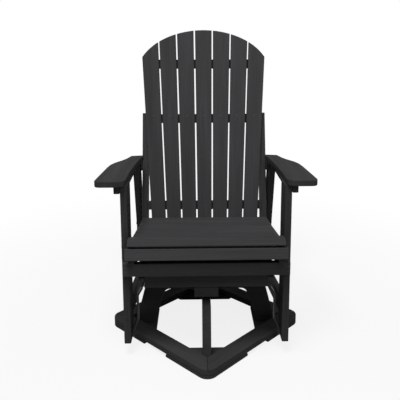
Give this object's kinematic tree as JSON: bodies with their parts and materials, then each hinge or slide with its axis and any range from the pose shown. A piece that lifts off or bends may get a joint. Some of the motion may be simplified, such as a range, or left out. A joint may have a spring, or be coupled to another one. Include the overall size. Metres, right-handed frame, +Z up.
{
  "type": "adirondack swivel glider chair",
  "caption": "Fan-back garden armchair of plastic lumber that glides on hanging links and swivels on a low square base.",
  "frame": {"origin": "on the floor, under the middle of the bounding box; the swivel axis stands 23.5 mm in front of it", "axes": "+Z up, the seat faces -Y, +X is to the right of someone who looks at the chair from the front"},
  "size_m": [0.784, 0.8002, 1.2069],
  "materials": {
    "lumber": "matte, fine lengthwise grain",
    "painted_steel": "satin black powder coat",
    "zinc_steel": "zinc plate"
  },
  "bodies": {
    "base": {"base_rail_front_right": "lumber", "base_rail_rear_right": "lumber", "base_rail_rear_left": "lumber", "base_rail_front_left": "lumber", "foot_plate_front": "lumber", "foot_plate_right": "lumber", "foot_plate_rear": "lumber", "foot_plate_left": "lumber", "base_arch_fore_and_aft": "lumber", "base_arch_crosswise": "lumber", "bearing_lower_race": "zinc_steel"},
    "turning_frame": {"bearing_upper_race": "zinc_steel", "turning_spine": "lumber", "turning_beam_front": "lumber", "turning_beam_rear": "lumber", "turning_rail_left": "lumber", "turning_rail_right": "lumber", "hanger_bolt_front_left": "painted_steel", "hanger_bolt_front_right": "painted_steel", "hanger_bolt_rear_left": "painted_steel", "hanger_bolt_rear_right": "painted_steel"},
    "link_front_left": {"hanger_link_front_left": "painted_steel"},
    "link_front_right": {"hanger_link_front_right": "painted_steel"},
    "link_rear_left": {"hanger_link_rear_left": "painted_steel"},
    "link_rear_right": {"hanger_link_rear_right": "painted_steel"},
    "chair": {"front_post_left": "lumber", "front_post_right": "lumber", "rear_post_left": "lumber", "rear_post_right": "lumber", "lower_side_rail_left": "lumber", "lower_side_rail_right": "lumber", "seat_slat_1": "lumber", "seat_slat_2": "lumber", "seat_slat_3": "lumber", "seat_slat_4": "lumber", "seat_slat_5": "lumber", "seat_stiffener": "lumber", "seat_slat_rear": "lumber", "seat_fascia": "lumber", "front_apron": "lumber", "seat_side_rail_left": "lumber", "seat_side_rail_right": "lumber", "back_slat_1": "lumber", "back_slat_2": "lumber", "back_slat_3": "lumber", "back_slat_4": "lumber", "back_slat_5": "lumber", "back_slat_6": "lumber", "back_slat_7": "lumber", "back_brace_lower": "lumber", "back_brace_middle": "lumber", "back_brace_upper": "lumber", "back_upright_left": "lumber", "back_upright_right": "lumber", "arm_spacer_left": "lumber", "arm_spacer_right": "lumber", "arm_left": "lumber", "arm_right": "lumber", "arm_bracket_left": "lumber", "arm_bracket_right": "lumber"}
  },
  "joints": [
    {"name": "swivel", "type": "hinge", "parent": "base", "child": "turning_frame", "pos_m": [0, -0.02347, 0.20935], "axis": [0, 0, 1], "continuous": true},
    {"name": "glide", "type": "hinge", "parent": "turning_frame", "child": "link_front_left", "pos_m": [-0.236, -0.21072, 0.2883], "axis": [1, 0, 0], "range_deg": [-18, 18]},
    {"name": "link_front_right_hinge", "type": "hinge", "parent": "turning_frame", "child": "link_front_right", "pos_m": [0.236, -0.21072, 0.2883], "axis": [1, 0, 0], "range_deg": [-18, 18]},
    {"name": "link_rear_left_hinge", "type": "hinge", "parent": "turning_frame", "child": "link_rear_left", "pos_m": [-0.236, 0.16378, 0.3083], "axis": [1, 0, 0], "range_deg": [-18, 18]},
    {"name": "link_rear_right_hinge", "type": "hinge", "parent": "turning_frame", "child": "link_rear_right", "pos_m": [0.236, 0.16378, 0.3083], "axis": [1, 0, 0], "range_deg": [-18, 18]},
    {"name": "chair_hinge", "type": "hinge", "parent": "link_front_left", "child": "chair", "pos_m": [-0.2921, -0.21072, 0.0703], "axis": [1, 0, 0], "range_deg": [-18, 18]}
  ],
  "couplings": [
    {"joint": "link_front_right_hinge", "follows": "glide", "ratio": 1},
    {"joint": "link_rear_left_hinge", "follows": "glide", "ratio": 1},
    {"joint": "link_rear_right_hinge", "follows": "glide", "ratio": 1},
    {"joint": "chair_hinge", "follows": "glide", "ratio": -1}
  ]
}
